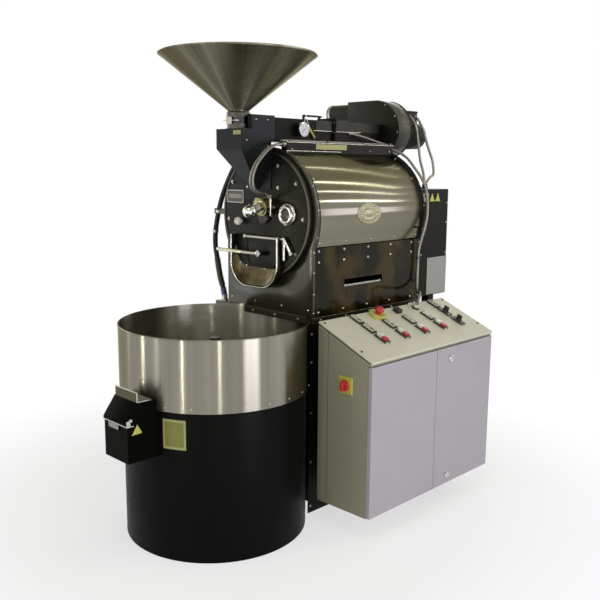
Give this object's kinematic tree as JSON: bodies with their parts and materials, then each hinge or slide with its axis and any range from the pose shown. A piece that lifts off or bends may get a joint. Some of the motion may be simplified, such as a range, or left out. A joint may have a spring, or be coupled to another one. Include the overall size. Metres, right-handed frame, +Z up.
{
  "type": "drum coffee roaster",
  "caption": "Gas drum coffee roaster with bean hopper, round cooling bin with stirrer, exhaust fan and a control console at its side.",
  "frame": {"origin": "on the floor under the outer face of the front end plate, on the drum's centre line; the bottom plate of the cooling bin passes through it", "axes": "+Z up; -Y is the machine's front, where the door and the cooling bin are; +X is the side with the control console"},
  "size_m": [0.9715, 1.7846, 1.8245],
  "materials": {
    "black_paint": "semi-gloss black paint, slightly warm",
    "black_satin": "satin black paint",
    "brushed_steel": "brushed stainless steel",
    "polished_steel": "polished stainless steel",
    "dark_steel": "bare mild steel, darkened by heat",
    "cast_black": "black cast iron, polished face",
    "brass": "turned brass",
    "beige_powder": "beige powder coat",
    "door_grey": "pale grey powder coat",
    "braided_conduit": "braided steel over dark hose",
    "black_rubber": "black rubber hose",
    "red_plastic": "glossy red plastic",
    "white_plastic": "glossy white plastic",
    "black_plastic": "matte black plastic"
  },
  "bodies": {
    "machine": {"base_frame": "black_paint", "deck_plate": "black_paint", "front_plate": "black_satin", "rear_plate": "black_satin", "drum_cover": "brushed_steel", "lower_casing": "black_paint", "cover_trunking": "brushed_steel", "burner_tubes": "dark_steel", "front_casting": "cast_black", "rear_bearing": "cast_black", "discharge_spout": "polished_steel", "sight_glass": "polished_steel", "trier_bushing": "brass", "thermocouple": "braided_conduit", "duct_thermometer": "polished_steel", "feed_chute": "black_paint", "hopper": "brushed_steel", "exhaust_duct": "black_paint", "fan_scroll": "black_paint", "fan_motor": "black_satin", "drive_chain": "dark_steel", "drive_motor": "black_satin", "rear_cabinet": "black_paint", "bin_body": "black_paint", "cooling_ring": "brushed_steel", "cooling_tray": "brushed_steel", "stirrer_gearmotor": "black_satin", "outlet_chute": "black_paint", "console_body": "beige_powder", "console_panel": "beige_powder", "electrics_backplate": "brushed_steel", "panel_conduit": "braided_conduit", "motor_conduits": "braided_conduit", "side_hose": "black_rubber"},
    "drum": {"drum": "dark_steel"},
    "motor_sprocket": {"motor_sprocket": "dark_steel"},
    "slide_gate": {"slide_gate": "brushed_steel"},
    "damper": {"damper_lever": "dark_steel"},
    "fan_impeller": {"fan_impeller": "dark_steel"},
    "discharge_door": {"discharge_door": "dark_steel"},
    "latch_lever": {"latch_lever": "polished_steel"},
    "sample_trier": {"sample_trier": "polished_steel"},
    "stirrer": {"stirrer": "brushed_steel"},
    "bin_gate": {"bin_gate": "brushed_steel"},
    "console_door_front": {"console_door_front": "door_grey"},
    "console_door_rear": {"console_door_rear": "door_grey"},
    "door_lock_lower": {"door_lock_lower": "polished_steel"},
    "door_lock_upper": {"door_lock_upper": "polished_steel"},
    "main_switch_knob": {"main_switch_knob": "red_plastic"},
    "estop_button": {"estop_button": "red_plastic"},
    "selector_knob_1": {"selector_knob_1": "black_plastic"},
    "selector_knob_2": {"selector_knob_2": "black_plastic"},
    "start_button_1": {"start_button_1": "white_plastic"},
    "stop_button_1": {"stop_button_1": "red_plastic"},
    "start_button_2": {"start_button_2": "white_plastic"},
    "stop_button_2": {"stop_button_2": "red_plastic"},
    "start_button_3": {"start_button_3": "white_plastic"},
    "stop_button_3": {"stop_button_3": "red_plastic"},
    "start_button_4": {"start_button_4": "white_plastic"},
    "stop_button_4": {"stop_button_4": "red_plastic"}
  },
  "joints": [
    {"name": "drum_spin", "type": "hinge", "parent": "machine", "child": "drum", "pos_m": [0, 0.33, 1.196], "axis": [0, 1, 0], "continuous": true},
    {"name": "motor_sprocket_spin", "type": "hinge", "parent": "machine", "child": "motor_sprocket", "pos_m": [0, 0.724, 0.932], "axis": [0, 1, 0], "continuous": true},
    {"name": "slide_gate_pull", "type": "slide", "parent": "machine", "child": "slide_gate", "axis": [0, -1, 0], "range_m": [0, 0.07]},
    {"name": "damper_turn", "type": "hinge", "parent": "machine", "child": "damper", "pos_m": [0, 0.178, 1.574], "axis": [1, 0, 0], "range_deg": [-38, 45]},
    {"name": "fan_spin", "type": "hinge", "parent": "machine", "child": "fan_impeller", "pos_m": [-0.005, 0.74, 1.55], "axis": [0, 1, 0], "continuous": true},
    {"name": "discharge_door_hinge", "type": "hinge", "parent": "machine", "child": "discharge_door", "pos_m": [-0.013, -0.0303, 1.114], "axis": [-1, 0, 0], "range_deg": [0, 65]},
    {"name": "latch_lever_pivot", "type": "hinge", "parent": "discharge_door", "child": "latch_lever", "pos_m": [0.007, -0.06, 1.051], "axis": [0, -1, 0], "range_deg": [0, 55]},
    {"name": "sample_trier_pull", "type": "slide", "parent": "machine", "child": "sample_trier", "axis": [0, -0.9659, -0.2588], "range_m": [0, 0.11]},
    {"name": "stirrer_spin", "type": "hinge", "parent": "machine", "child": "stirrer", "pos_m": [0.04, -0.316, 0.6], "axis": [0, 0, 1], "continuous": true},
    {"name": "bin_gate_lift", "type": "slide", "parent": "machine", "child": "bin_gate", "axis": [0, 0, 1], "range_m": [0, 0.04]},
    {"name": "console_door_front_hinge", "type": "hinge", "parent": "machine", "child": "console_door_front", "pos_m": [0.6033, -0.047, 0.392], "axis": [0, 0, -1], "range_deg": [0, 110]},
    {"name": "console_door_rear_hinge", "type": "hinge", "parent": "machine", "child": "console_door_rear", "pos_m": [0.6033, 0.761, 0.392], "axis": [0, 0, 1], "range_deg": [0, 110]},
    {"name": "door_lock_lower_turn", "type": "hinge", "parent": "console_door_rear", "child": "door_lock_lower", "pos_m": [0.6, 0.455, 0.137], "axis": [1, 0, 0], "range_deg": [0, 90]},
    {"name": "door_lock_upper_turn", "type": "hinge", "parent": "console_door_rear", "child": "door_lock_upper", "pos_m": [0.6, 0.455, 0.636], "axis": [1, 0, 0], "range_deg": [0, 90]},
    {"name": "main_switch_turn", "type": "hinge", "parent": "machine", "child": "main_switch_knob", "pos_m": [0.481, -0.068, 0.597], "axis": [0, -1, 0], "range_deg": [0, 90]},
    {"name": "estop_press", "type": "slide", "parent": "machine", "child": "estop_button", "axis": [-0.3909, 0, -0.9204], "range_m": [0, 0.004], "stiffness_N_per_m": 800},
    {"name": "start_button_1_press", "type": "slide", "parent": "machine", "child": "start_button_1", "axis": [-0.3909, 0, -0.9204], "range_m": [0, 0.0025], "stiffness_N_per_m": 400},
    {"name": "stop_button_1_press", "type": "slide", "parent": "machine", "child": "stop_button_1", "axis": [-0.3909, 0, -0.9204], "range_m": [0, 0.0025], "stiffness_N_per_m": 400},
    {"name": "start_button_2_press", "type": "slide", "parent": "machine", "child": "start_button_2", "axis": [-0.3909, 0, -0.9204], "range_m": [0, 0.0025], "stiffness_N_per_m": 400},
    {"name": "stop_button_2_press", "type": "slide", "parent": "machine", "child": "stop_button_2", "axis": [-0.3909, 0, -0.9204], "range_m": [0, 0.0025], "stiffness_N_per_m": 400},
    {"name": "start_button_3_press", "type": "slide", "parent": "machine", "child": "start_button_3", "axis": [-0.3909, 0, -0.9204], "range_m": [0, 0.0025], "stiffness_N_per_m": 400},
    {"name": "stop_button_3_press", "type": "slide", "parent": "machine", "child": "stop_button_3", "axis": [-0.3909, 0, -0.9204], "range_m": [0, 0.0025], "stiffness_N_per_m": 400},
    {"name": "start_button_4_press", "type": "slide", "parent": "machine", "child": "start_button_4", "axis": [-0.3909, 0, -0.9204], "range_m": [0, 0.0025], "stiffness_N_per_m": 400},
    {"name": "stop_button_4_press", "type": "slide", "parent": "machine", "child": "stop_button_4", "axis": [-0.3909, 0, -0.9204], "range_m": [0, 0.0025], "stiffness_N_per_m": 400},
    {"name": "selector_1_turn", "type": "hinge", "parent": "machine", "child": "selector_knob_1", "pos_m": [0.43811, 0.649, 0.78976], "axis": [0.3909, 0, 0.9204], "range_deg": [-45, 45]},
    {"name": "selector_2_turn", "type": "hinge", "parent": "machine", "child": "selector_knob_2", "pos_m": [0.50622, 0.649, 0.76083], "axis": [0.3909, 0, 0.9204], "range_deg": [-45, 45]}
  ],
  "couplings": [
    {"joint": "motor_sprocket_spin", "follows": "drum_spin", "ratio": 2.4}
  ]
}
